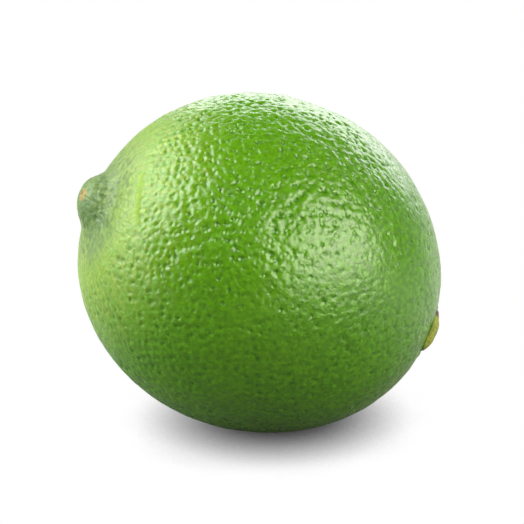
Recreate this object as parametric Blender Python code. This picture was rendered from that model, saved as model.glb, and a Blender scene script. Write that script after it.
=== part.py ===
"""A whole lime lying on its side, at real size, in metres with +Z up.

The fruit is one solid: a slightly lopsided ellipsoid with a nipple at the blossom end,
a shallow furrow round it, a slight dent at the stem end and sunken pores all over.
The calyx, the small button that stays when the stalk is cut, sits in a pocket at the stem end.
"""

import math

import bmesh
import bpy
import numpy as np
from mathutils import Matrix, Vector

MM = 0.001

# Body, in the fruit's own frame: its long axis is X, with the stem end at +X
HALF_LENGTH = 29.3 * MM
HALF_WIDTH = 26.65 * MM
AXIS_TILT = math.radians(21.8)

# Broad swells (+) and hollows (-) that make the body lopsided: direction, height
SWELL_SPREAD = 0.42
SWELLS = {
    "crown": ((-0.42, 0.36, 0.83), 0.26 * MM),
    "shoulder over the nipple": ((-0.88, 0.35, 0.33), -0.24 * MM),
    "heel": ((-0.69, 0.0, -0.72), 0.16 * MM),
    "underside": ((0.37, -0.35, -0.86), -0.28 * MM),
    "back of the stem end": ((0.82, -0.09, 0.57), -0.45 * MM),
}

# Nipple at the blossom end, the furrow round it and the hollow in front of it
NIPPLE_DIRECTION = (-1.0, 0.0, 0.078)
NIPPLE_HEIGHT = 2.4 * MM
NIPPLE_SPREAD = 0.132
NIPPLE_LEAN = 0.15
NIPPLE_WIDENING = 0.18
NIPPLE_POWER = 3.1
FURROW_DEPTH = 0.25 * MM
FURROW_SPREAD = 0.385
FURROW_POWER = 6
HOLLOW_DEPTH = 0.6 * MM
HOLLOW_ANGLE = 0.22
HOLLOW_WIDTH = 0.10

# Dent at the stem end, with shallow folds running into it
STEM_DIRECTION = (1.0, -0.30, 0.01)
DENT_DEPTH = 0.15 * MM
DENT_SPREAD = 0.22
FOLDS = 9
FOLD_DEPTH = 0.12 * MM
FOLD_SPREAD = 0.3

# Pores, larger than life: each is a small pit with a few sides
PORES = 1100
PORE_SIDES = 4
PORE_RADIUS = 1.0 * MM
PORE_DEPTH = 0.4 * MM
PORE_SEED = 7
PORE_SCATTER = 0.35
RELAX_STEPS = 3
CROWDING = 0.16
PORELESS_WAY = (0.3, 0.5, 0.8)

# Flat spot that the fruit rests on, measured inwards from its lowest point
FLAT_DEPTH = 0.5 * MM
FLAT_MARGIN = 1.5 * MM

# Calyx button, and the pocket that it sits in
CALYX_RADIUS = 3.7 * MM
CALYX_LOBES = 5
LOBE_SHARE = 0.05
CALYX_SEAT = 0.6 * MM
POCKET_GAP = 0.3 * MM
CALYX_SIDES = 45
POCKET_SIDES = 48
CUTTER_LENGTH = 4.0 * MM

# Half section of the calyx from its middle outwards: share of the radius, height over the skin
CALYX_PROFILE = (
    (0.16, 0.84 * MM),
    (0.32, 0.95 * MM),
    (0.41, 0.93 * MM),
    (0.47, 0.80 * MM),
    (0.56, 0.82 * MM),
    (0.70, 0.62 * MM),
    (0.84, 0.30 * MM),
    (0.95, -0.02 * MM),
    (1.00, -0.25 * MM),
    (0.97, -0.42 * MM),
    (0.92, -CALYX_SEAT),
)
CALYX_CENTRE_HEIGHT = 0.80 * MM

PEEL_COLOUR = (0.085, 0.31, 0.012, 1.0)
PEEL_ROUGHNESS = 0.3
CALYX_COLOUR = (0.26, 0.27, 0.05, 1.0)
CALYX_ROUGHNESS = 0.7
PEEL_SMOOTH_BELOW = math.radians(40)
CALYX_SMOOTH_BELOW = math.radians(50)


def clear_scene():
    for obj in list(bpy.data.objects):
        bpy.data.objects.remove(obj, do_unlink=True)


def unit(vectors):
    vectors = np.asarray(vectors, float)
    return vectors / np.linalg.norm(vectors, axis=-1, keepdims=True)


def angle_from(directions, pole):
    return np.arccos(np.clip(directions @ unit(pole), -1.0, 1.0))


def side_vectors(pole):
    """Two unit vectors across the pole: the one nearest to up, and the one level with it."""
    pole = unit(pole)
    upward = unit(np.array([0.0, 0.0, 1.0]) - pole[2] * pole)
    return upward, np.cross(pole, upward)


def ellipsoid_radius(directions):
    x, y, z = directions.T
    return 1.0 / np.sqrt((x / HALF_LENGTH) ** 2 + (y * y + z * z) / HALF_WIDTH**2)


def swell_height(directions):
    total = np.zeros(len(directions))
    for pole, height in SWELLS.values():
        total += height * np.exp(-((angle_from(directions, pole) / SWELL_SPREAD) ** 2))
    return total


def nipple_height(directions):
    """The mound leans up: its upper side is steep, its lower side runs out gently, and it is
    broadest to its left and right. In front, at -Y, the skin round it is hollow."""
    angle = angle_from(directions, NIPPLE_DIRECTION)
    upward, level = side_vectors(NIPPLE_DIRECTION)
    rise = np.clip(directions @ upward / np.maximum(np.sin(angle), 1e-9), -1.0, 1.0)
    front = np.clip(-directions @ level / np.maximum(np.sin(angle), 1e-9), 0.0, 1.0)
    spread = NIPPLE_SPREAD * (1.0 - NIPPLE_LEAN * rise + NIPPLE_WIDENING * (1.0 - rise**2))
    mound = NIPPLE_HEIGHT * np.exp(-((angle / spread) ** NIPPLE_POWER))
    furrow = FURROW_DEPTH * np.exp(-((angle / FURROW_SPREAD) ** FURROW_POWER))
    hollow = HOLLOW_DEPTH * np.exp(-(((angle - HOLLOW_ANGLE) / HOLLOW_WIDTH) ** 2)) * front**1.5
    return mound - furrow - hollow


def stem_end_height(directions):
    angle = angle_from(directions, STEM_DIRECTION)
    upward, level = side_vectors(STEM_DIRECTION)
    turn = np.arctan2(directions @ level, directions @ upward)
    dent = DENT_DEPTH * np.exp(-((angle / DENT_SPREAD) ** 4))
    folds = FOLD_DEPTH * 0.5 * (1.0 - np.cos(FOLDS * turn)) * (angle / FOLD_SPREAD) ** 2
    return -dent - folds * np.exp(1.0 - (angle / FOLD_SPREAD) ** 2)


def skin_radius(directions):
    """Distance from the middle of the fruit to its skin, pores left out."""
    radius = ellipsoid_radius(directions)
    radius += swell_height(directions)
    radius += nipple_height(directions)
    radius += stem_end_height(directions)
    return radius


def hull_triangles(directions):
    """Triangles of the convex hull of points on a sphere, each seen anticlockwise from outside."""
    mesh = bmesh.new()
    for direction in directions:
        mesh.verts.new(direction)
    mesh.verts.index_update()
    bmesh.ops.convex_hull(mesh, input=mesh.verts)
    triangles = np.array([[v.index for v in face.verts] for face in mesh.faces])
    mesh.free()
    inward = np.linalg.det(directions[triangles]) < 0.0
    triangles[inward] = triangles[inward][:, ::-1]
    return triangles


def relaxed(directions):
    """Moves each point to the middle of its cell, apart from the first, which stays where it is."""
    triangles = hull_triangles(directions)
    middles = unit(directions[triangles].sum(axis=1))
    moved = np.zeros_like(directions)
    for corner in range(3):
        np.add.at(moved, triangles[:, corner], middles)
    moved[0] = directions[0]
    return unit(moved)


def crowded(directions):
    """Draws the points towards the nipple, where the pores are closest together."""
    pole = unit(NIPPLE_DIRECTION)
    angle = angle_from(directions, pole)
    across = directions - np.cos(angle)[:, None] * pole
    across /= np.maximum(np.linalg.norm(across, axis=1, keepdims=True), 1e-9)
    angle = angle - CROWDING * np.sin(angle)
    return unit(np.cos(angle)[:, None] * pole + np.sin(angle)[:, None] * across)


def spiral_directions(count):
    """Even directions on a golden-angle spiral."""
    step = np.arange(count) + 0.5
    height = 1.0 - 2.0 * step / count
    turn = math.pi * (1.0 + math.sqrt(5.0)) * step
    across = np.sqrt(1.0 - height * height)
    return np.stack([across * np.cos(turn), across * np.sin(turn), height], axis=1)


def pore_directions():
    """Scattered directions from the middle of the fruit, one a pore, with one at the nipple's tip."""
    random = np.random.default_rng(PORE_SEED)
    spacing = math.sqrt(4.0 * math.pi / PORES)
    scatter = random.uniform(-PORE_SCATTER, PORE_SCATTER, (PORES, 3)) * spacing
    directions = unit(spiral_directions(PORES) + scatter)
    pole = unit(NIPPLE_DIRECTION)
    nearest = np.argmax(directions @ pole)
    directions[[0, nearest]] = directions[[nearest, 0]]
    directions[0] = pole
    for _ in range(RELAX_STEPS):
        directions = relaxed(directions)
    return crowded(directions), random.uniform(0.0, 2.0 * math.pi, PORES)


def rim_directions(pores, turns):
    """The corners of each pore's rim, evenly round it from its own starting turn."""
    beside = unit(np.cross(pores, PORELESS_WAY))
    ahead = np.cross(pores, beside)
    spread = PORE_RADIUS / HALF_WIDTH
    rims = []
    for side in range(PORE_SIDES):
        turn = turns + 2.0 * math.pi * side / PORE_SIDES
        across = np.cos(turn)[:, None] * beside + np.sin(turn)[:, None] * ahead
        rims.append(unit(pores + spread * across))
    return np.concatenate(rims)


def down_direction():
    """Straight down, in the frame of the tilted fruit."""
    turn = Matrix.Rotation(AXIS_TILT, 3, "Y")
    return np.array(turn.transposed() @ Vector((0.0, 0.0, -1.0)))


def rest_depth(points):
    """How far below the middle of the fruit the flat spot lies."""
    return (points @ down_direction()).max() - FLAT_DEPTH


def pore_depths(points, floor_depth):
    """Pores fade out towards the flat spot."""
    height = floor_depth - points @ down_direction()
    return PORE_DEPTH * np.clip(height / FLAT_MARGIN, 0.0, 1.0)


def pressed_flat(points, floor_depth):
    down = down_direction()
    excess = np.maximum(points @ down - floor_depth, 0.0)
    return points - excess[:, None] * down


def merge_flat_faces(mesh, floor_depth):
    down = Vector(down_direction())
    touching = {v for v in mesh.verts if abs(v.co @ down - floor_depth) < 1e-7}
    flat = [face for face in mesh.faces if touching.issuperset(face.verts)]
    bmesh.ops.dissolve_faces(mesh, faces=flat, use_verts=True)


def peel_material():
    material = bpy.data.materials.new("lime_peel")
    material.use_nodes = True
    shader = material.node_tree.nodes["Principled BSDF"]
    shader.inputs["Base Color"].default_value = PEEL_COLOUR
    shader.inputs["Roughness"].default_value = PEEL_ROUGHNESS
    shader.inputs["Metallic"].default_value = 0.0
    return material


def calyx_material():
    material = bpy.data.materials.new("dry_calyx")
    material.use_nodes = True
    shader = material.node_tree.nodes["Principled BSDF"]
    shader.inputs["Base Color"].default_value = CALYX_COLOUR
    shader.inputs["Roughness"].default_value = CALYX_ROUGHNESS
    shader.inputs["Metallic"].default_value = 0.0
    return material


def object_from(mesh, name, material):
    data = bpy.data.meshes.new(name)
    mesh.to_mesh(data)
    mesh.free()
    data.materials.append(material)
    obj = bpy.data.objects.new(name, data)
    bpy.context.scene.collection.objects.link(obj)
    return obj


def place_along(obj, direction, distance, parent):
    """Stands the object's own Z axis on the direction, at this distance from the parent's origin."""
    direction = Vector(direction).normalized()
    obj.parent = parent
    obj.location = direction * distance
    obj.rotation_euler = direction.to_track_quat("Z", "Y").to_euler()


def make_fruit():
    """The pitted fruit in its own frame, turned by the tilt and set down with its flat spot at Z = 0."""
    pores, turns = pore_directions()
    directions = np.concatenate([pores, rim_directions(pores, turns)])
    points = directions * skin_radius(directions)[:, None]
    floor_depth = rest_depth(points)
    points[:PORES] -= pores * pore_depths(points[:PORES], floor_depth)[:, None]
    points = pressed_flat(points, floor_depth)

    mesh = bmesh.new()
    corners = [mesh.verts.new(point) for point in points]
    for triangle in hull_triangles(directions):
        mesh.faces.new([corners[number] for number in triangle])
    merge_flat_faces(mesh, floor_depth)
    fruit = object_from(mesh, "lime_fruit", peel_material())
    fruit.data.shade_smooth()
    fruit.data.set_sharp_from_angle(angle=PEEL_SMOOTH_BELOW)
    fruit.rotation_euler = (0.0, AXIS_TILT, 0.0)
    return fruit, points, floor_depth


def set_down(fruit, points, floor_depth):
    """Puts the middle of the bounding box over the origin."""
    turn = np.array(Matrix.Rotation(AXIS_TILT, 3, "Y"))
    turned = points @ turn.T
    middle = (turned.min(axis=0) + turned.max(axis=0)) / 2.0
    fruit.location = (-middle[0], -middle[1], floor_depth)


def stem_skin_distance():
    return float(skin_radius(unit([STEM_DIRECTION]))[0])


def make_calyx(fruit):
    """A low button with soft lobes round its edge and a round scar where the stalk came off."""
    mesh = bmesh.new()
    rings = []
    for share, height in CALYX_PROFILE:
        ring = []
        for side in range(CALYX_SIDES):
            turn = 2.0 * math.pi * side / CALYX_SIDES
            lobe = 1.0 + LOBE_SHARE * share**2 * (math.cos(CALYX_LOBES * turn) - 1.0)
            radius = CALYX_RADIUS * share * lobe
            ring.append(mesh.verts.new((radius * math.cos(turn), radius * math.sin(turn), height)))
        rings.append(ring)
    for inner, outer in zip(rings, rings[1:]):
        for side in range(CALYX_SIDES):
            after = (side + 1) % CALYX_SIDES
            mesh.faces.new((inner[side], outer[side], outer[after], inner[after]))
    top = mesh.verts.new((0.0, 0.0, CALYX_CENTRE_HEIGHT))
    bottom = mesh.verts.new((0.0, 0.0, -CALYX_SEAT))
    for side in range(CALYX_SIDES):
        after = (side + 1) % CALYX_SIDES
        mesh.faces.new((top, rings[0][side], rings[0][after]))
        mesh.faces.new((bottom, rings[-1][after], rings[-1][side]))
    calyx = object_from(mesh, "calyx_button", calyx_material())
    calyx.data.shade_smooth()
    calyx.data.set_sharp_from_angle(angle=CALYX_SMOOTH_BELOW)
    place_along(calyx, STEM_DIRECTION, stem_skin_distance(), fruit)
    return calyx


def cut_pocket(fruit):
    """A shallow round pocket in the stem end, a little wider and deeper than the calyx's foot."""
    mesh = bmesh.new()
    radius = CALYX_RADIUS + POCKET_GAP
    bmesh.ops.create_cone(
        mesh, cap_ends=True, segments=POCKET_SIDES, radius1=radius, radius2=radius, depth=CUTTER_LENGTH
    )
    cutter = object_from(mesh, "pocket_cutter", calyx_material())
    floor = stem_skin_distance() - CALYX_SEAT - POCKET_GAP
    place_along(cutter, STEM_DIRECTION, floor + CUTTER_LENGTH / 2.0, fruit)
    cutter.hide_render = True
    cutter.display_type = "WIRE"
    pocket = fruit.modifiers.new("pocket", "BOOLEAN")
    pocket.operation = "DIFFERENCE"
    pocket.object = cutter


def main():
    clear_scene()
    fruit, points, floor_depth = make_fruit()
    set_down(fruit, points, floor_depth)
    cut_pocket(fruit)
    make_calyx(fruit)


main()
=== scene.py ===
"""The look of a whole green lime: pitted waxy peel, nipple with its scar, and a dry calyx button.

Lengths are in metres. The fruit's own frame has its long axis on X, with the stem end at +X;
the shape formulas and their sizes are the ones that its solids are made from.
"""

import math

import bmesh
import bpy
import numpy as np
from mathutils import Matrix, Vector, noise


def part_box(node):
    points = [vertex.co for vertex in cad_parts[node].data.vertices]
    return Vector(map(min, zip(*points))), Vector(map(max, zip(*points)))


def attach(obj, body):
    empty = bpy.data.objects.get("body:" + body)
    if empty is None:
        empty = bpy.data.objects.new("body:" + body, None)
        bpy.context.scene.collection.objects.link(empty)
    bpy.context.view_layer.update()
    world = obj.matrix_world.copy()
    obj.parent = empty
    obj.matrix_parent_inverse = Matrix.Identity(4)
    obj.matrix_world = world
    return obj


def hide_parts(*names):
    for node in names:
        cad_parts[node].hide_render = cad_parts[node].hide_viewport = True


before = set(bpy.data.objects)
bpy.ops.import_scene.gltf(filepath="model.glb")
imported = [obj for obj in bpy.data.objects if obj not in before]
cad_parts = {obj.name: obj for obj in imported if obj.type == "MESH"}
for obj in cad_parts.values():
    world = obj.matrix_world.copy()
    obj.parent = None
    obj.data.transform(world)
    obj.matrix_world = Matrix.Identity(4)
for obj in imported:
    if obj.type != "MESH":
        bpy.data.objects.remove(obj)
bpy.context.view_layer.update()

MM = 0.001

# Body
HALF_LENGTH = 29.3 * MM
HALF_WIDTH = 26.65 * MM
AXIS_TILT = math.radians(21.8)
SWELL_SPREAD = 0.42
SWELLS = {
    "crown": ((-0.42, 0.36, 0.83), 0.26 * MM),
    "shoulder over the nipple": ((-0.88, 0.35, 0.33), -0.24 * MM),
    "heel": ((-0.69, 0.0, -0.72), 0.16 * MM),
    "underside": ((0.37, -0.35, -0.86), -0.28 * MM),
    "back of the stem end": ((0.82, -0.09, 0.57), -0.45 * MM),
}
FLAT_DEPTH = 0.5 * MM

# Nipple, the furrow round it and the scar on its tip
NIPPLE_DIRECTION = (-1.0, 0.0, 0.078)
NIPPLE_HEIGHT = 2.4 * MM
NIPPLE_SPREAD = 0.132
NIPPLE_LEAN = 0.15
NIPPLE_WIDENING = 0.18
NIPPLE_POWER = 3.1
FURROW_DEPTH = 0.25 * MM
FURROW_SPREAD = 0.385
FURROW_POWER = 6
HOLLOW_DEPTH = 0.6 * MM
HOLLOW_ANGLE = 0.22
HOLLOW_WIDTH = 0.10
CREASE_ENDS = ((-0.884, -0.291, 0.366), (-0.858, -0.495, 0.135))
CREASE_HEIGHT = 0.10 * MM
CREASE_WIDTH = 0.55 * MM
CREASE_SWAY = 0.35 * MM
CREASE_SWAY_LENGTH = 3.0 * MM
SCAR_DIRECTION = (-1.0, -0.042, 0.074)
SCAR_SPREAD = 0.036
SCAR_EDGE = 0.008
WEDGE_TURN = -2.09
WRINKLES = 17
WRINKLE_DEPTH = 0.09 * MM
WRINKLE_SWAY = 5.0
WRINKLE_SWAY_LENGTH = 6.0 * MM

# Dent at the stem end, with shallow folds running into it and a thin rim round the calyx
STEM_DIRECTION = (1.0, -0.30, 0.01)
DENT_DEPTH = 0.15 * MM
DENT_SPREAD = 0.22
FOLDS = 9
FOLD_DEPTH = 0.12 * MM
FOLD_SPREAD = 0.3
RIM_HEIGHT = 0.16 * MM
RIM_RADIUS = 4.1 * MM
RIM_WIDTH = 0.40 * MM
RIM_BREAK_LENGTH = 1.2 * MM

# Pores and the fine unevenness between them
PORES = 3900
PORE_SEED = 7
PORE_SIZES = (0.65, 1.35)
PORE_SIZE_AT_STEM = 0.65
SHALLOWEST_PORE = 0.2
DEEPEST_PORE = 1.25
PORE_GROUPING = 0.5
PORE_GROUP_LENGTH = 4.0 * MM
PORE_SCATTER = 0.33
RELAX_STEPS = 1
CROWDING = 0.3
INNER_RING = 0.19 * MM
OUTER_RING = 0.45 * MM
INNER_RING_LIMIT = 0.3
OUTER_RING_LIMIT = 0.62
PORE_RADIUS = 0.37 * MM
PORE_DEPTH = 0.30 * MM
PORE_WARP = 0.5
PORE_WARP_LENGTH = 0.5 * MM
PORE_FADE = 1.0 * MM
SWAY_HEIGHT = 0.16 * MM
SWAY_LENGTH = 3.6 * MM
RIPPLE_HEIGHT = 0.12 * MM
RIPPLE_LENGTH = 1.1 * MM
ROUGH_SIDE = (-0.55, -0.25, 0.80)
CALM_SWAY = 0.3
CALM_PORE_DEPTH = 0.35
PORES_LEFT_BESIDE_NIPPLE = 0.12
SMALL_PORE_SPACING = 1.05 * MM
SPOT_SPACING = 1.5 * MM

# Calyx: its half section goes from the middle out, each corner as a share of the radius and a height
CALYX_PROFILE = (
    (0.00, 0.80 * MM),
    (0.16, 0.84 * MM),
    (0.32, 0.95 * MM),
    (0.41, 0.93 * MM),
    (0.47, 0.80 * MM),
    (0.56, 0.82 * MM),
    (0.70, 0.62 * MM),
    (0.84, 0.30 * MM),
    (0.95, -0.02 * MM),
    (1.00, -0.25 * MM),
    (0.97, -0.42 * MM),
    (0.92, -0.60 * MM),
    (0.00, -0.60 * MM),
)
CALYX_SIDES = 150
CALYX_STEPS = 5
CALYX_RADIUS = 3.7 * MM
CALYX_LOBES = 5
LOBE_SHARE = 0.05
DRY_TURNS = (1.31, 4.45)
DRY_WIDTH = 0.6
SHRINKAGE = 0.6
CALYX_RIBS = 6 * CALYX_LOBES
RIB_HEIGHT = 0.04 * MM
CALYX_BUMPS = ((0.06 * MM, 0.7 * MM), (0.10 * MM, 2.0 * MM))
POCKET_RADIUS = 3.2 * MM
POCKET_DEPTH = 0.9 * MM
POCKET_WALL = 0.4 * MM

# Colours as they look on a screen, from 0 to 255
COLOURS = {
    "green": (77, 134, 2),
    "lighter green": (86, 143, 3),
    "stem side": (68, 121, 17),
    "nipple side": (132, 160, 14),
    "streaks": (160, 190, 44),
    "mottling": (98, 164, 8),
    "nipple": (126, 156, 58),
    "nipple speckle": (54, 88, 18),
    "nipple tip": (80, 116, 44),
    "wedge": (72, 114, 40),
    "veins": (150, 180, 88),
    "spots": (56, 104, 24),
    "crease": (134, 176, 22),
    # pores and small pores: their own darker green together with painted shade in the pits
    "pores": (50, 114, 0),
    "small pores": (56, 122, 1),
    "scar": (170, 148, 54),
    "dark scar": (98, 92, 18),
    "calyx": (150, 160, 44),
    "darker calyx": (116, 132, 30),
    "dry calyx": (70, 50, 20),
    "stalk scar": (120, 92, 50),
    "dark stalk scar": (70, 48, 24),
}

# Camera: where the middle of the fruit lies in the square picture, and how large it is there
PICTURE = 524
PIXELS_PER_METRE = 6320
MIDDLE_PIXEL = (260.8, 264.3)
CAMERA_DISTANCE = 0.40
CAMERA_AZIMUTH = math.radians(-9.9)
CAMERA_ELEVATION = math.radians(20.0)
SENSOR_WIDTH = 36.0

# Brightness of the dim room in front of the fruit and of the white backdrop behind it
ROOM_LEFT = 0.06
ROOM_RIGHT = 0.03
BACKDROP_LIGHT = 0.5
BACKDROP_EDGE = -0.2
BACKDROP_FADE = 0.3

# Floor: how pale it is for the fruit in front and behind, and its glow and shade for the camera
FLOOR_REACH = 4.0
FLOOR_BOUNCE = 0.2
FLOOR_BOUNCE_BEHIND = 0.8
BOUNCE_REACH = 0.10
LEFT_SHARE = 0.8
RIGHT_SHARE = 1.5
FLOOR_GLOW = 2.0
SHADE_REACH = 0.1
SHADE_POWER = 1.4
SHADE_LEAN = -0.09

# Soft boxes: the way to each along the picture's right, its up and towards the viewer, then how far
# away it is, its width and height, and its radiance
LIGHTS = {
    "left_box": ((-0.80, 0.44, 0.21), 0.55, (0.46, 0.70), 5.0),
    "shine_box": ((-0.74, 0.62, -0.08), 0.55, (0.62, 0.30), 5.0),
    "high_box": ((0.68, 0.36, 0.64), 0.60, (0.54, 0.44), 5.3),
    "low_box": ((0.72, 0.03, 0.68), 0.60, (0.72, 0.60), 5.0),
    "back_box": ((0.26, 0.60, -0.76), 0.60, (0.62, 0.34), 3.7),
}
MIRRORED_ONLY = ("shine_box", "low_box")
WARM = ("high_box", "low_box")
WARM_COLOUR = (1.0, 0.94, 0.82)


# Vectors and the shape of the skin


def unit(vectors):
    vectors = np.asarray(vectors, float)
    return vectors / np.linalg.norm(vectors, axis=-1, keepdims=True)


def angle_from(directions, pole):
    return np.arccos(np.clip(directions @ unit(pole), -1.0, 1.0))


def side_vectors(pole):
    """Two unit vectors across the pole: the one nearest to up, and the one level with it."""
    pole = unit(pole)
    upward = unit(np.array([0.0, 0.0, 1.0]) - pole[2] * pole)
    return upward, np.cross(pole, upward)


def turn_round(directions, pole):
    upward, level = side_vectors(pole)
    return np.arctan2(directions @ level, directions @ upward)


def smooth_step(values, low, high):
    share = np.clip((values - low) / (high - low), 0.0, 1.0)
    return share * share * (3.0 - 2.0 * share)


def noise_of(points, size, seed=0.0):
    """Smooth noise from -1 to 1 at points in metres, with features of about this size."""
    shift = Vector((seed, 1.7 * seed, -0.6 * seed))
    return np.array([noise.noise(Vector(point) / size + shift) for point in points.tolist()])


def ellipsoid_radius(directions):
    x, y, z = directions.T
    return 1.0 / np.sqrt((x / HALF_LENGTH) ** 2 + (y * y + z * z) / HALF_WIDTH**2)


def swell_height(directions):
    total = np.zeros(len(directions))
    for pole, height in SWELLS.values():
        total += height * np.exp(-((angle_from(directions, pole) / SWELL_SPREAD) ** 2))
    return total


def nipple_height(directions):
    """The mound leans up: its upper side is steep, its lower side runs out gently, and it is
    broadest to its left and right. In front, at -Y, the skin round it is hollow."""
    angle = angle_from(directions, NIPPLE_DIRECTION)
    upward, level = side_vectors(NIPPLE_DIRECTION)
    rise = np.clip(directions @ upward / np.maximum(np.sin(angle), 1e-9), -1.0, 1.0)
    front = np.clip(-directions @ level / np.maximum(np.sin(angle), 1e-9), 0.0, 1.0)
    spread = NIPPLE_SPREAD * (1.0 - NIPPLE_LEAN * rise + NIPPLE_WIDENING * (1.0 - rise**2))
    mound = NIPPLE_HEIGHT * np.exp(-((angle / spread) ** NIPPLE_POWER))
    furrow = FURROW_DEPTH * np.exp(-((angle / FURROW_SPREAD) ** FURROW_POWER))
    hollow = HOLLOW_DEPTH * np.exp(-(((angle - HOLLOW_ANGLE) / HOLLOW_WIDTH) ** 2)) * front**1.5
    return mound - furrow - hollow


def stem_end_height(directions):
    angle = angle_from(directions, STEM_DIRECTION)
    turn = turn_round(directions, STEM_DIRECTION)
    dent = DENT_DEPTH * np.exp(-((angle / DENT_SPREAD) ** 4))
    folds = FOLD_DEPTH * 0.5 * (1.0 - np.cos(FOLDS * turn)) * (angle / FOLD_SPREAD) ** 2
    return -dent - folds * np.exp(1.0 - (angle / FOLD_SPREAD) ** 2)


def skin_radius(directions):
    """Distance from the middle of the fruit to its skin, pores left out."""
    radius = ellipsoid_radius(directions)
    radius += swell_height(directions)
    radius += nipple_height(directions)
    radius += stem_end_height(directions)
    return radius


def pocket_depth(directions):
    """The pocket that the calyx sits in; its edge is hidden under the calyx."""
    across = angle_from(directions, STEM_DIRECTION) * HALF_LENGTH
    return POCKET_DEPTH * (1.0 - smooth_step(across, POCKET_RADIUS - POCKET_WALL, POCKET_RADIUS))


def rim_height(directions, points):
    """The thin, broken rim of skin round the calyx."""
    across = angle_from(directions, STEM_DIRECTION) * HALF_LENGTH
    broken = 0.6 + 0.8 * noise_of(points, RIM_BREAK_LENGTH, seed=8.0)
    return RIM_HEIGHT * broken * np.exp(-(((across - RIM_RADIUS) / RIM_WIDTH) ** 2))


def wrinkle_depth(directions, points):
    """Fine folds that run down the flanks of the nipple."""
    angle = angle_from(directions, NIPPLE_DIRECTION)
    turn = turn_round(directions, NIPPLE_DIRECTION)
    sway = WRINKLE_SWAY * noise_of(points, WRINKLE_SWAY_LENGTH, seed=3.0)
    folds = 0.5 + 0.5 * np.cos(WRINKLES * turn + sway)
    return WRINKLE_DEPTH * folds * smooth_step(angle, 0.05, 0.12) * (1.0 - smooth_step(angle, 0.2, 0.36))


def crease_share(directions, points):
    """1 on the short raised line in front of the nipple, 0 away from it."""
    first, last = unit(CREASE_ENDS)
    sway = CREASE_SWAY * noise_of(points, CREASE_SWAY_LENGTH, seed=6.0)
    across = directions @ unit(np.cross(first, last)) * HALF_WIDTH + sway
    along = directions @ unit(last - first) / np.linalg.norm(last - first)
    ends = smooth_step(np.abs(along - unit(last - first) @ (first + last) / 2.0), 0.62, 0.4)
    near = smooth_step(directions @ unit(first + last), 0.7, 0.8)
    return np.exp(-((across / CREASE_WIDTH) ** 2)) * ends * near


# Pores: one cell of the skin round each


def hull_triangles(directions):
    """Triangles of the convex hull of points on a sphere, each seen anticlockwise from outside."""
    mesh = bmesh.new()
    for direction in directions:
        mesh.verts.new(direction)
    mesh.verts.index_update()
    bmesh.ops.convex_hull(mesh, input=mesh.verts)
    triangles = np.array([[v.index for v in face.verts] for face in mesh.faces])
    mesh.free()
    inward = np.linalg.det(directions[triangles]) < 0.0
    triangles[inward] = triangles[inward][:, ::-1]
    return triangles


def relaxed(directions):
    """Moves each point to the middle of its cell, apart from the first, which stays where it is."""
    triangles = hull_triangles(directions)
    middles = unit(directions[triangles].sum(axis=1))
    moved = np.zeros_like(directions)
    for corner in range(3):
        np.add.at(moved, triangles[:, corner], middles)
    moved[0] = directions[0]
    return unit(moved)


def crowded(directions):
    """Draws the points towards the nipple, where the pores are closest together."""
    pole = unit(NIPPLE_DIRECTION)
    angle = angle_from(directions, pole)
    across = directions - np.cos(angle)[:, None] * pole
    across /= np.maximum(np.linalg.norm(across, axis=1, keepdims=True), 1e-9)
    angle = angle - CROWDING * np.sin(angle)
    return unit(np.cos(angle)[:, None] * pole + np.sin(angle)[:, None] * across)


def spiral_directions(count):
    """Even directions on a golden-angle spiral."""
    step = np.arange(count) + 0.5
    height = 1.0 - 2.0 * step / count
    turn = math.pi * (1.0 + math.sqrt(5.0)) * step
    across = np.sqrt(1.0 - height * height)
    return np.stack([across * np.cos(turn), across * np.sin(turn), height], axis=1)


def pore_directions(random):
    spacing = math.sqrt(4.0 * math.pi / PORES)
    scatter = random.uniform(-PORE_SCATTER, PORE_SCATTER, (PORES, 3)) * spacing
    directions = unit(spiral_directions(PORES) + scatter)
    pole = unit(NIPPLE_DIRECTION)
    nearest = np.argmax(directions @ pole)
    directions[[0, nearest]] = directions[[nearest, 0]]
    directions[0] = pole
    for _ in range(RELAX_STEPS):
        directions = relaxed(directions)
    return crowded(directions)


def towards(starts, targets, distance, largest_share):
    """Directions at this distance from the starts towards the targets, but never past the largest share
    of the way."""
    gap = np.arccos(np.clip((starts * targets).sum(axis=1), -1.0, 1.0))
    angle = np.minimum(distance / HALF_WIDTH, largest_share * gap)[:, None]
    across = unit(targets - (starts * targets).sum(axis=1, keepdims=True) * starts)
    return np.cos(angle) * starts + np.sin(angle) * across


def edge_twins(triangles, count):
    """For each edge of the triangles, the point that it starts from and the same edge the other way."""
    start = triangles.ravel()
    end = np.roll(triangles, -1, axis=1).ravel()
    order = np.argsort(start * count + end)
    found = np.searchsorted((start * count + end)[order], end * count + start)
    return start, order[found]


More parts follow.
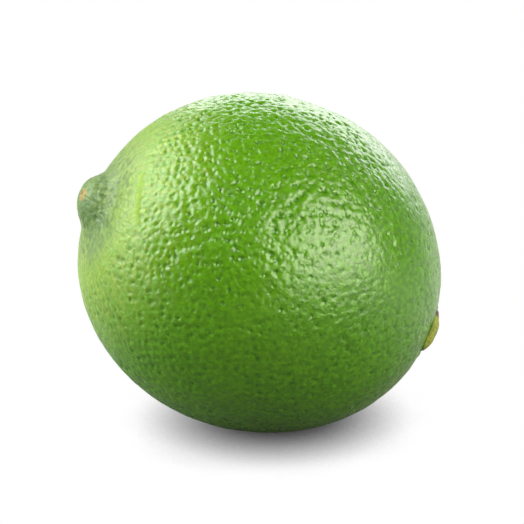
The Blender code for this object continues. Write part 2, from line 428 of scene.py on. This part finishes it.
def pore_cells(pores, sizes):
    """Splits the skin into a cell round each pore, with two rings of points in each cell.

    Every edge of the hull, taken in one direction, gives the cell that it starts from one sector:
    from the middle of the triangle on its right to the middle of the one on its left."""
    triangles = hull_triangles(pores)
    start, twin = edge_twins(triangles, len(pores))
    edge = np.arange(len(start))
    left = edge // 3
    far = twin // 3 * 3 + (twin % 3 + 1) % 3
    first, wall = np.unique(np.minimum(edge, twin), return_inverse=True)

    corners = unit(pores[triangles].sum(axis=1))
    walls = unit(corners[first // 3] + corners[twin[first] // 3])
    own = sizes[start]
    inner = towards(pores[start], corners[left], INNER_RING * own, INNER_RING_LIMIT)
    outer = towards(pores[start], corners[left], OUTER_RING * own, OUTER_RING_LIMIT)
    outer_mid = towards(pores[start], walls[wall], OUTER_RING * own, OUTER_RING_LIMIT)
    blocks = [pores, inner, outer, outer_mid, corners, walls]
    offsets = np.cumsum([0] + [len(block) for block in blocks])
    centre_at = start
    inner_at, inner_far = offsets[1] + edge, offsets[1] + far
    outer_at, outer_far = offsets[2] + edge, offsets[2] + far
    middle_at = offsets[3] + edge
    corner_at, corner_far = offsets[4] + left, offsets[4] + twin // 3
    wall_at = offsets[5] + wall
    faces = [
        (centre_at, inner_far, inner_at),
        (inner_far, outer_far, middle_at),
        (inner_far, middle_at, inner_at),
        (inner_at, middle_at, outer_at),
        (outer_far, corner_far, wall_at),
        (outer_far, wall_at, middle_at),
        (middle_at, wall_at, corner_at),
        (middle_at, corner_at, outer_at),
    ]
    shared = np.full(len(corners) + len(walls), -1)
    owner = np.concatenate([np.arange(len(pores)), start, start, start, shared])
    return np.concatenate(blocks), np.concatenate([np.stack(f, axis=1) for f in faces]), owner


def pore_sizes(random, pores):
    """The size of each pore as a share of the usual one: larger on the nipple's side."""
    larger = smooth_step(-pores[:, 0], -0.5, 0.35)
    sizes = random.uniform(*PORE_SIZES, PORES)
    return sizes * (PORE_SIZE_AT_STEM + (1.0 - PORE_SIZE_AT_STEM) * larger)


def pore_strengths(random, pores):
    """The depth of each pore as a share of the usual one: few are deep, and they lie in groups."""
    strengths = DEEPEST_PORE * random.uniform(SHALLOWEST_PORE, 1.0, PORES) ** 1.5
    return strengths * (1.0 + PORE_GROUPING * noise_of(pores * HALF_WIDTH, PORE_GROUP_LENGTH, seed=2.0))


def pit_shape(directions, points, pores, owner, sizes):
    """1 at the bottom of each pore and 0 on the skin between. No pore is quite round."""
    distance = np.arccos(np.clip((directions * pores[owner]).sum(axis=1), -1.0, 1.0)) * HALF_WIDTH
    warp = 1.0 + PORE_WARP * noise_of(points, PORE_WARP_LENGTH, seed=5.0)
    shape = np.exp(-((distance * warp / (PORE_RADIUS * sizes[owner])) ** 2))
    return np.where(owner >= 0, shape, 0.0)


def unevenness(directions):
    """From 0 at both ends of the fruit, where the skin is calm, to 1 on its most uneven side."""
    calm = smooth_step(angle_from(directions, NIPPLE_DIRECTION), 0.3, 1.0)
    calm *= smooth_step(angle_from(directions, STEM_DIRECTION), 0.1, 0.3)
    least = 0.12 + 0.2 * smooth_step(-directions[:, 0], -0.1, 0.4)
    return calm * (least + (1.0 - least) * smooth_step(directions @ unit(ROUGH_SIDE), 0.4, 0.8))


def fade_of_pores(directions, points):
    """1 where pores are full: they fade at the flat spot and beside the nipple."""
    heights = tilted(points)[:, 2]
    above_spot = np.clip((heights - heights.min() - FLAT_DEPTH) / PORE_FADE, 0.0, 1.0)
    angle = angle_from(directions, NIPPLE_DIRECTION)
    beside = smooth_step(angle, 0.20, 0.34) * smooth_step(-angle, -0.55, -0.40)
    return above_spot * (1.0 - (1.0 - PORES_LEFT_BESIDE_NIPPLE) * beside)


# The fruit


def tilted(points):
    return points @ np.array(Matrix.Rotation(AXIS_TILT, 3, "Y")).T


def pressed_flat(points):
    floor = points[:, 2].min() + FLAT_DEPTH
    return np.stack([points[:, 0], points[:, 1], np.maximum(points[:, 2], floor)], axis=1)


def set_down(points):
    """Moves the points so that their box stands where the fruit's solid stands."""
    low, high = (np.array(corner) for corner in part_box("lime_fruit"))
    middle = (points.min(axis=0) + points.max(axis=0)) / 2.0
    shift = (low + high) / 2.0 - middle
    shift[2] = low[2] - points[:, 2].min()
    return points + shift, shift


def add_layer(data, name, values):
    """One number or one vector for each point of the mesh."""
    kind, field = ("FLOAT", "value") if values.ndim == 1 else ("FLOAT_VECTOR", "vector")
    layer = data.attributes.new(name, kind, "POINT")
    layer.data.foreach_set(field, values.astype(np.float32).ravel())


def meridians(directions, pole):
    """Places for streaks that run out from the pole: the way round it, and how far out."""
    turn = turn_round(directions, pole)
    return np.column_stack([np.cos(turn), np.sin(turn), angle_from(directions, pole)])


def skin_shape():
    """The skin's points from the middle of the fruit, its faces, and the layers that its material reads."""
    random = np.random.default_rng(PORE_SEED)
    pores = pore_directions(random)
    sizes = pore_sizes(random, pores)
    strengths = pore_strengths(random, pores)
    directions, faces, owner = pore_cells(pores, sizes)
    radius = skin_radius(directions)
    points = directions * radius[:, None]
    rough = unevenness(directions)
    crease = crease_share(directions, points)
    pit = pit_shape(directions, points, pores, owner, sizes) * strengths[owner]
    pit *= fade_of_pores(directions, points)
    radius += SWAY_HEIGHT * noise_of(points, SWAY_LENGTH) * (CALM_SWAY + (1.0 - CALM_SWAY) * rough)
    radius += RIPPLE_HEIGHT * noise_of(points, RIPPLE_LENGTH, seed=9.0) * rough
    radius -= wrinkle_depth(directions, points) + pocket_depth(directions)
    radius += CREASE_HEIGHT * crease + rim_height(directions, points)
    radius -= PORE_DEPTH * pit * (CALM_PORE_DEPTH + (1.0 - CALM_PORE_DEPTH) * rough)
    layers = {
        # the pit mask that the material paints darker: the pore's own colour and painted shade
        "pore": pit,
        "crease": crease,
        "scar_angle": angle_from(directions, SCAR_DIRECTION),
        "rough": rough,
        "ways": meridians(directions, NIPPLE_DIRECTION),
        "stem_ways": meridians(directions, STEM_DIRECTION),
    }
    return directions * radius[:, None], faces, layers


def fruit_piece():
    points, faces, layers = skin_shape()
    points, shift = set_down(pressed_flat(tilted(points)))
    data = bpy.data.meshes.new("lime_skin")
    data.from_pydata(points.tolist(), [], faces.tolist())
    data.shade_smooth()
    for name, values in layers.items():
        add_layer(data, name, values)
    piece = bpy.data.objects.new("lime_skin", data)
    bpy.context.scene.collection.objects.link(piece)
    data.materials.append(peel_material())
    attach(piece, "root")
    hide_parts("lime_fruit")
    return shift


# Material helpers


class Nodes:
    """Adds nodes to a material and joins them, each in one call."""

    def __init__(self, name):
        self.material = bpy.data.materials.new(name)
        self.material.use_nodes = True
        self.tree = self.material.node_tree
        self.shader = self.tree.nodes["Principled BSDF"]
        self.place = self.add("ShaderNodeTexCoord").outputs["Object"]

    def add(self, kind, **settings):
        node = self.tree.nodes.new(kind)
        for key, value in settings.items():
            setattr(node, key, value)
        return node

    def put(self, socket, value):
        if isinstance(value, bpy.types.NodeSocket):
            self.tree.links.new(value, socket)
        else:
            socket.default_value = value

    def layer(self, name, output="Fac"):
        return self.add("ShaderNodeAttribute", attribute_name=name).outputs[output]

    def angle_out(self, ways):
        """How far out a place is from the pole of these ways, as an angle."""
        parts = self.add("ShaderNodeSeparateXYZ")
        self.put(parts.inputs[0], self.layer(ways, "Vector"))
        return parts.outputs["Z"]

    def near_line(self, ways, turn):
        """1 on the line that runs out from the pole of these ways at this turn, and less beside it."""
        node = self.add("ShaderNodeVectorMath", operation="DOT_PRODUCT")
        self.put(node.inputs[0], self.layer(ways, "Vector"))
        node.inputs[1].default_value = (math.cos(turn), math.sin(turn), 0.0)
        return node.outputs["Value"]

    def noise(self, size, detail=2.0, roughness=0.5):
        """Noise from 0 to 1 with features of about this size in metres."""
        node = self.add("ShaderNodeTexNoise")
        self.put(node.inputs["Vector"], self.place)
        node.inputs["Scale"].default_value = 1.0 / size
        node.inputs["Detail"].default_value = detail
        node.inputs["Roughness"].default_value = roughness
        return node.outputs["Fac"]

    def streaks(self, ways, round_scale, out_scale, detail=2.0):
        """Noise from 0 to 1, drawn out along lines that run out from the pole of these ways."""
        place = self.add("ShaderNodeMapping", vector_type="POINT")
        self.put(place.inputs["Vector"], self.layer(ways, "Vector"))
        place.inputs["Scale"].default_value = (round_scale, round_scale, out_scale)
        node = self.add("ShaderNodeTexNoise")
        self.put(node.inputs["Vector"], place.outputs["Vector"])
        node.inputs["Scale"].default_value = 1.0
        node.inputs["Detail"].default_value = detail
        return node.outputs["Fac"]

    def dimples(self, spacing, low, high):
        """1 in the middle of small dimples scattered at about this spacing, 0 between them."""
        node = self.add("ShaderNodeTexVoronoi")
        self.put(node.inputs["Vector"], self.place)
        node.inputs["Scale"].default_value = 1.0 / spacing
        return self.span(node.outputs["Distance"], high, low)

    def math(self, operation, first, second):
        node = self.add("ShaderNodeMath", operation=operation)
        self.put(node.inputs[0], first)
        self.put(node.inputs[1], second)
        return node.outputs["Value"]

    def times(self, first, second):
        return self.math("MULTIPLY", first, second)

    def plus(self, first, second):
        return self.math("ADD", first, second)

    def span(self, value, low, high, start=0.0, stop=1.0):
        """start at low, stop at high and a smooth curve between them."""
        node = self.add("ShaderNodeMapRange", interpolation_type="SMOOTHSTEP")
        self.put(node.inputs["Value"], value)
        node.inputs["From Min"].default_value = low
        node.inputs["From Max"].default_value = high
        node.inputs["To Min"].default_value = start
        node.inputs["To Max"].default_value = stop
        return node.outputs["Result"]

    def mix(self, share, first, second):
        node = self.add("ShaderNodeMix", data_type="RGBA")
        self.put(node.inputs["Factor"], share)
        self.put(node.inputs["A"], first)
        self.put(node.inputs["B"], second)
        return node.outputs["Result"]


def colour(name):
    """The named colour as linear light."""
    shares = [channel / 255.0 for channel in COLOURS[name]]
    return (*[s / 12.92 if s <= 0.04045 else ((s + 0.055) / 1.055) ** 2.4 for s in shares], 1.0)


def ground_colour(nodes, angle):
    """Green with faint patches, cooler towards the stem, and yellower and streaky towards the nipple."""
    patches = nodes.span(nodes.noise(8.0 * MM), 0.3, 0.7)
    tone = nodes.mix(patches, colour("green"), colour("lighter green"))
    tone = nodes.mix(nodes.span(angle, 1.3, 1.95, 0.0, 0.75), tone, colour("stem side"))
    tone = nodes.mix(nodes.span(angle, 1.08, 0.20), tone, colour("nipple side"))
    streaks = nodes.span(nodes.streaks("ways", 26.0, 7.0, 3.0), 0.44, 0.62)
    streaks = nodes.times(streaks, nodes.span(angle, 1.0, 0.45, 0.0, 0.55))
    tone = nodes.mix(streaks, tone, colour("streaks"))
    mottling = nodes.span(nodes.noise(0.7 * MM, 3.0, 0.6), 0.40, 0.62, 0.0, 0.7)
    return nodes.mix(mottling, tone, colour("mottling"))


def nipple_colour(nodes, angle, tone):
    """The greyish green round the nipple's tip, with its speckle, fine veins and spots, and the darker
    wedge under the scar."""
    area = nodes.span(angle, 0.48, 0.24, 0.0, 0.7)
    tone = nodes.mix(area, tone, colour("nipple"))
    speckle = nodes.span(nodes.noise(0.9 * MM, 3.0, 0.7), 0.44, 0.60)
    tone = nodes.mix(nodes.times(speckle, area), tone, colour("nipple speckle"))
    tone = nodes.mix(nodes.span(angle, 0.32, 0.10, 0.0, 0.6), tone, colour("nipple tip"))
    beside_wedge = nodes.span(nodes.near_line("ways", WEDGE_TURN), 0.80, 0.97)
    wedge = nodes.times(nodes.span(angle, 0.46, 0.30), beside_wedge)
    grooves = nodes.span(nodes.streaks("ways", 34.0, 5.0), 0.38, 0.60, 0.15, 0.75)
    tone = nodes.mix(nodes.times(wedge, grooves), tone, colour("wedge"))
    veins = nodes.span(nodes.streaks("ways", 16.0, 9.0, 3.0), 0.48, 0.64)
    veins = nodes.times(veins, nodes.span(angle, 0.10, 0.30, 0.0, 0.45))
    tone = nodes.mix(nodes.times(veins, area), tone, colour("veins"))
    spots = nodes.dimples(SPOT_SPACING, 0.18, 0.36)
    return nodes.mix(nodes.times(spots, area), tone, colour("spots"))


def pore_colour(nodes, angle, tone):
    """The crease beside the nipple, the pores, and the small pores of the uneven side. The pores and small
    pores are coloured darker green: partly their own colour, partly painted shade in the pits.
    """
    tone = nodes.mix(nodes.layer("crease"), tone, colour("crease"))
    # painted shade: the pits are coloured darker, more so towards the stem end, on top of their own darker
    # green
    pore = nodes.span(nodes.layer("pore"), 0.25, 0.75)
    pore = nodes.times(pore, nodes.span(angle, 1.2, 1.8, 0.45, 0.9))
    tone = nodes.mix(pore, tone, colour("pores"))
    # painted shade in the small dimples too, on top of their own darker green
    small = nodes.times(nodes.dimples(SMALL_PORE_SPACING, 0.05, 0.34), nodes.layer("rough"))
    return nodes.mix(nodes.times(small, 0.5), tone, colour("small pores"))


def scar_colour(nodes, tone):
    ragged = nodes.times(nodes.noise(0.7 * MM), 0.02)
    angle = nodes.plus(nodes.layer("scar_angle"), ragged)
    inner = SCAR_SPREAD + SCAR_EDGE / 2.0
    scar = nodes.span(angle, inner + SCAR_EDGE, inner)
    dark = nodes.span(nodes.noise(0.4 * MM), 0.45, 0.62)
    return nodes.mix(scar, tone, nodes.mix(dark, colour("scar"), colour("dark scar")))


def peel_colour(nodes):
    angle = nodes.angle_out("ways")
    tone = ground_colour(nodes, angle)
    tone = nipple_colour(nodes, angle, tone)
    tone = pore_colour(nodes, angle, tone)
    return scar_colour(nodes, tone)


def nipple_relief(nodes):
    fine = nodes.plus(nodes.noise(0.55 * MM, 2.0, 0.6), nodes.streaks("ways", 10.0, 5.0))
    return nodes.times(fine, nodes.span(nodes.angle_out("ways"), 0.75, 0.36, 0.0, 0.14))


def stem_relief(nodes):
    near = nodes.span(nodes.angle_out("stem_ways"), 0.65, 0.20, 0.0, 0.28)
    return nodes.times(nodes.streaks("stem_ways", 14.0, 5.0), near)


def peel_relief(nodes):
    """Height in millimetres of what is too fine for the mesh."""
    rough = nodes.layer("rough")
    lumps = nodes.times(nodes.noise(1.0 * MM, 0.5), nodes.span(rough, 0.1, 1.0, 0.14, 0.22))
    small_pores = nodes.dimples(SMALL_PORE_SPACING, 0.05, 0.48)
    small_pores = nodes.times(small_pores, nodes.span(rough, 0.0, 1.0, -0.04, -0.11))
    grain = nodes.times(nodes.noise(0.34 * MM, 1.0), nodes.span(rough, 0.0, 1.0, 0.045, 0.03))
    relief = nodes.plus(nodes.plus(lumps, small_pores), grain)
    return nodes.plus(relief, nodes.plus(nipple_relief(nodes), stem_relief(nodes)))


def peel_material():
    nodes = Nodes("waxy_peel")
    nodes.put(nodes.shader.inputs["Base Color"], peel_colour(nodes))
    waxy = nodes.span(nodes.noise(1.2 * MM, 3.0), 0.3, 0.7, 0.26, 0.34)
    matt = nodes.span(nodes.angle_out("ways"), 0.80, 0.35, 0.0, 0.15)
    matt = nodes.math("MAXIMUM", matt, nodes.times(nodes.layer("crease"), 0.4))
    nodes.put(nodes.shader.inputs["Roughness"], nodes.plus(waxy, matt))
    nodes.shader.inputs["Subsurface Weight"].default_value = 0.08
    nodes.shader.inputs["Subsurface Radius"].default_value = (0.7, 1.0, 0.25)
    nodes.shader.inputs["Subsurface Scale"].default_value = 1.0 * MM
    bump = nodes.add("ShaderNodeBump")
    nodes.put(bump.inputs["Height"], peel_relief(nodes))
    bump.inputs["Distance"].default_value = MM
    nodes.put(nodes.shader.inputs["Normal"], bump.outputs["Normal"])
    return nodes.material


# The calyx


def calyx_sections():
    """The half section with extra points between its corners."""
    sections = []
    for (share, height), (next_share, next_height) in zip(CALYX_PROFILE, CALYX_PROFILE[1:]):
        for step in range(CALYX_STEPS):
            part = step / CALYX_STEPS
            sections.append((share + part * (next_share - share), height + part * (next_height - height)))
    return sections[1:]


def dryness(turn):
    """1 at the two dry ends of the calyx and 0 in between."""
    return sum(np.exp((np.cos(turn - dry_turn) - 1.0) * 2.0 / DRY_WIDTH**2) for dry_turn in DRY_TURNS)


def calyx_point(share, height, turn):
    lobe = 1.0 + LOBE_SHARE * share**2 * (math.cos(CALYX_LOBES * turn) - 1.0)
    radius = CALYX_RADIUS * share * lobe
    point = Vector((radius * math.cos(turn), radius * math.sin(turn), height))
    bumps = sum(size * noise.noise(point / length) for size, length in CALYX_BUMPS)
    ribs = RIB_HEIGHT * math.cos(CALYX_RIBS * turn) * share
    if height > 0.0:
        point.z = height * (1.0 - SHRINKAGE * dryness(turn) * share) + bumps + ribs
    return point


def calyx_mesh():
    """The calyx on its own axis, Z."""
    mesh = bmesh.new()
    turns = [2.0 * math.pi * side / CALYX_SIDES for side in range(CALYX_SIDES)]
    rings = []
    for share, height in calyx_sections():
        rings.append([mesh.verts.new(calyx_point(share, height, turn)) for turn in turns])
    top = mesh.verts.new((0.0, 0.0, CALYX_PROFILE[0][1]))
    bottom = mesh.verts.new((0.0, 0.0, CALYX_PROFILE[-1][1]))
    for side in range(CALYX_SIDES):
        after = (side + 1) % CALYX_SIDES
        mesh.faces.new((top, rings[0][side], rings[0][after]))
        mesh.faces.new((bottom, rings[-1][after], rings[-1][side]))
        for inner, outer in zip(rings, rings[1:]):
            mesh.faces.new((inner[side], outer[side], outer[after], inner[after]))
    data = bpy.data.meshes.new("calyx")
    mesh.to_mesh(data)
    mesh.free()
    return data


def calyx_stand():
    """Where the calyx stands on the stem end, in the fruit's own frame."""
    direction = Vector(STEM_DIRECTION).normalized()
    distance = float(skin_radius(unit([STEM_DIRECTION]))[0])
    return Matrix.Translation(direction * distance) @ direction.to_track_quat("Z", "Y").to_matrix().to_4x4()


def calyx_piece(shift):
    data = calyx_mesh()
    reach = np.array([math.hypot(v.co.x, v.co.y) / CALYX_RADIUS for v in data.vertices])
    turn = np.array([math.atan2(v.co.y, v.co.x) for v in data.vertices])
    add_layer(data, "reach", reach)
    add_layer(data, "dry", dryness(turn) * smooth_step(reach, 0.45, 0.95))
    data.transform(Matrix.Translation(shift) @ Matrix.Rotation(AXIS_TILT, 4, "Y") @ calyx_stand())
    data.shade_smooth()
    piece = bpy.data.objects.new("calyx", data)
    bpy.context.scene.collection.objects.link(piece)
    data.materials.append(calyx_material())
    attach(piece, "root")
    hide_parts("calyx_button")


def calyx_material():
    nodes = Nodes("dry_calyx")
    reach = nodes.layer("reach")
    patches = nodes.span(nodes.noise(1.0 * MM, 3.0), 0.4, 0.6)
    tone = nodes.mix(patches, colour("calyx"), colour("darker calyx"))
    dry = nodes.plus(nodes.layer("dry"), nodes.times(nodes.noise(0.8 * MM, 3.0), 0.8))
    tone = nodes.mix(nodes.span(dry, 0.72, 1.02), tone, colour("dry calyx"))
    stalk_scar = nodes.mix(nodes.noise(0.5 * MM, 3.0), colour("stalk scar"), colour("dark stalk scar"))
    tone = nodes.mix(nodes.span(reach, 0.46, 0.40), tone, stalk_scar)
    nodes.put(nodes.shader.inputs["Base Color"], tone)
    nodes.put(nodes.shader.inputs["Roughness"], nodes.span(nodes.noise(0.8 * MM), 0.3, 0.7, 0.5, 0.75))
    bump = nodes.add("ShaderNodeBump")
    nodes.put(bump.inputs["Height"], nodes.noise(0.35 * MM, 4.0, 0.65))
    bump.inputs["Distance"].default_value = 0.12 * MM
    nodes.put(nodes.shader.inputs["Normal"], bump.outputs["Normal"])
    return nodes.material


# Camera, floor and light


def view_axes():
    """The picture's right, its up and the way to the viewer, in the row's frame."""
    level = Matrix.Rotation(CAMERA_AZIMUTH, 3, "Z")
    right = level @ Vector((1.0, 0.0, 0.0))
    viewer = level @ Vector((0.0, -math.cos(CAMERA_ELEVATION), math.sin(CAMERA_ELEVATION)))
    return right, viewer.cross(right), viewer


def make_camera(middle):
    """Looks at the middle of the fruit, which lies at MIDDLE_PIXEL in the picture."""
    right, up, viewer = view_axes()
    data = bpy.data.cameras.new("camera")
    data.sensor_width = SENSOR_WIDTH
    data.lens = PIXELS_PER_METRE * CAMERA_DISTANCE / PICTURE * SENSOR_WIDTH
    camera = bpy.data.objects.new("camera", data)
    bpy.context.scene.collection.objects.link(camera)
    aside = (PICTURE / 2.0 - MIDDLE_PIXEL[0]) / PIXELS_PER_METRE
    above = (MIDDLE_PIXEL[1] - PICTURE / 2.0) / PIXELS_PER_METRE
    camera.location = middle + right * aside + up * above + viewer * CAMERA_DISTANCE
    camera.rotation_euler = viewer.to_track_quat("Z", "Y").to_euler()
    bpy.context.scene.camera = camera


def make_light(name, middle, direction, distance, size, radiance):
    """A soft box. The direction is given along the picture's right, its up and towards the viewer."""
    right, up, viewer = view_axes()
    way = (right * direction[0] + up * direction[1] + viewer * direction[2]).normalized()
    data = bpy.data.lights.new(name, "AREA")
    data.shape = "RECTANGLE"
    data.size, data.size_y = size
    data.energy = radiance * math.pi * size[0] * size[1]
    if name in WARM:
        data.color = WARM_COLOUR
    light = bpy.data.objects.new(name, data)
    bpy.context.scene.collection.objects.link(light)
    light.location = middle + way * distance
    light.rotation_euler = way.to_track_quat("Z", "Y").to_euler()
    light.visible_diffuse = name not in MIRRORED_ONLY


def floor_material():
    """Bright white, with the soft shadow that light from all round leaves under the fruit. What it throws
    back at the fruit is the light of a floor that is grey in front and pale behind and at both sides."""
    nodes = Nodes("pale_floor")
    parts = nodes.add("ShaderNodeSeparateXYZ")
    nodes.put(parts.inputs[0], nodes.place)
    left = nodes.times(parts.outputs["X"], -LEFT_SHARE)
    right = nodes.times(parts.outputs["X"], RIGHT_SHARE)
    behind = nodes.plus(nodes.math("MAXIMUM", left, right), parts.outputs["Y"])
    bounce = nodes.span(behind, 0.0, BOUNCE_REACH, FLOOR_BOUNCE, FLOOR_BOUNCE_BEHIND)
    nodes.put(nodes.shader.inputs["Base Color"], bounce)
    nodes.shader.inputs["Roughness"].default_value = 0.9
    nodes.shader.inputs["Specular IOR Level"].default_value = 0.0
    shelter = nodes.add("ShaderNodeAmbientOcclusion", samples=16)
    shelter.inputs["Distance"].default_value = SHADE_REACH
    brighter_side = nodes.add("ShaderNodeCombineXYZ")
    brighter_side.inputs["X"].default_value = SHADE_LEAN
    brighter_side.inputs["Z"].default_value = 1.0
    nodes.put(shelter.inputs["Normal"], brighter_side.outputs["Vector"])
    glow = nodes.add("ShaderNodeEmission")
    lit = nodes.math("POWER", nodes.times(shelter.outputs["AO"], FLOOR_GLOW), SHADE_POWER)
    nodes.put(glow.inputs["Strength"], nodes.math("MINIMUM", lit, 1.0))
    mixer = nodes.add("ShaderNodeMixShader")
    nodes.put(mixer.inputs[0], nodes.add("ShaderNodeLightPath").outputs["Is Camera Ray"])
    nodes.put(mixer.inputs[1], nodes.shader.outputs["BSDF"])
    nodes.put(mixer.inputs[2], glow.outputs["Emission"])
    nodes.put(nodes.tree.nodes["Material Output"].inputs["Surface"], mixer.outputs["Shader"])
    return nodes.material


def make_floor():
    mesh = bmesh.new()
    bmesh.ops.create_grid(mesh, x_segments=1, y_segments=1, size=FLOOR_REACH)
    data = bpy.data.meshes.new("floor")
    mesh.to_mesh(data)
    mesh.free()
    data.materials.append(floor_material())
    floor = bpy.data.objects.new("floor", data)
    bpy.context.scene.collection.objects.link(floor)


def share_along(tree, way):
    """How far a direction of the world points this way, from -1 to 1."""
    place = tree.nodes.new("ShaderNodeTexCoord")
    product = tree.nodes.new("ShaderNodeVectorMath")
    product.operation = "DOT_PRODUCT"
    product.inputs[1].default_value = way
    tree.links.new(place.outputs["Generated"], product.inputs[0])
    return product.outputs["Value"]


def make_world():
    """White behind the object, and a dimmer grey for what it lights and mirrors."""
    right, _, viewer = view_axes()
    world = bpy.data.worlds.new("studio")
    world.use_nodes = True
    tree = world.node_tree
    room = tree.nodes.new("ShaderNodeMapRange")
    room.inputs["From Min"].default_value = -1.0
    room.inputs["To Min"].default_value = ROOM_LEFT
    room.inputs["To Max"].default_value = ROOM_RIGHT
    tree.links.new(share_along(tree, right), room.inputs["Value"])
    backdrop = tree.nodes.new("ShaderNodeMapRange")
    backdrop.inputs["From Min"].default_value = BACKDROP_EDGE
    backdrop.inputs["From Max"].default_value = BACKDROP_EDGE - BACKDROP_FADE
    backdrop.inputs["To Max"].default_value = BACKDROP_LIGHT
    tree.links.new(room.outputs["Result"], backdrop.inputs["To Min"])
    tree.links.new(share_along(tree, viewer), backdrop.inputs["Value"])
    path = tree.nodes.new("ShaderNodeLightPath")
    strength = tree.nodes.new("ShaderNodeMix")
    strength.inputs["B"].default_value = 1.0
    tree.links.new(path.outputs["Is Camera Ray"], strength.inputs["Factor"])
    tree.links.new(backdrop.outputs["Result"], strength.inputs["A"])
    background = tree.nodes["Background"]
    background.inputs["Color"].default_value = (1.0, 1.0, 1.0, 1.0)
    tree.links.new(strength.outputs["Result"], background.inputs["Strength"])
    bpy.context.scene.world = world


def make_lights(middle):
    for name, (direction, distance, size, radiance) in LIGHTS.items():
        make_light(name, middle, direction, distance, size, radiance)


def main():
    bpy.context.scene.view_settings.view_transform = "Standard"
    shift = Vector(fruit_piece())
    calyx_piece(shift)
    make_camera(shift)
    make_lights(shift)
    make_floor()
    make_world()


main()
